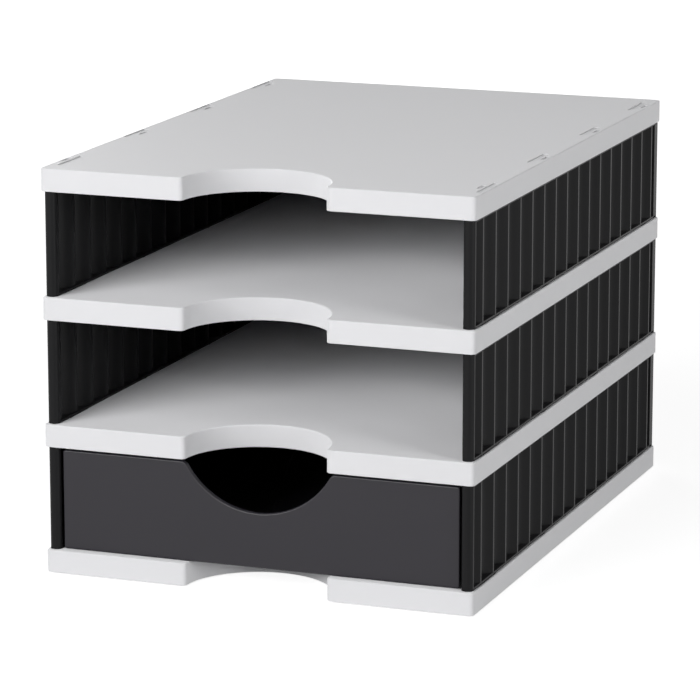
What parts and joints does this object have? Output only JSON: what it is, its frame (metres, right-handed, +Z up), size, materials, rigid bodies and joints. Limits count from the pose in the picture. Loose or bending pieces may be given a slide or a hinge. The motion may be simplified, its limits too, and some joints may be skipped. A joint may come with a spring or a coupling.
{
  "type": "letter tray stack with drawer",
  "caption": "Stack of moulded panels on fluted side walls with open letter compartments above a pull-out drawer.",
  "frame": {"origin": "centre of the footprint at the bottom of the feet", "axes": "+Z up, -Y out of the front where the drawer opens, +X to the right seen from the front"},
  "size_m": [0.252, 0.35, 0.23],
  "materials": {
    "panel_grey": "satin",
    "wall_black": "satin",
    "drawer_charcoal": "satin",
    "foot_rubber": "matte"
  },
  "bodies": {
    "housing": {"base_panel": "panel_grey", "lower_shelf": "panel_grey", "upper_shelf": "panel_grey", "top_panel": "panel_grey", "left_wall_lower": "wall_black", "right_wall_lower": "wall_black", "left_wall_middle": "wall_black", "right_wall_middle": "wall_black", "left_wall_upper": "wall_black", "right_wall_upper": "wall_black", "rear_wall_lower": "wall_black", "rear_wall_middle": "wall_black", "rear_wall_upper": "wall_black", "foot_front_left": "foot_rubber", "foot_front_right": "foot_rubber", "foot_rear_left": "foot_rubber", "foot_rear_right": "foot_rubber"},
    "drawer": {"drawer": "drawer_charcoal"}
  },
  "joints": [
    {"name": "drawer_slide", "type": "slide", "parent": "housing", "child": "drawer", "axis": [0, -1, 0], "range_m": [0, 0.25]}
  ]
}
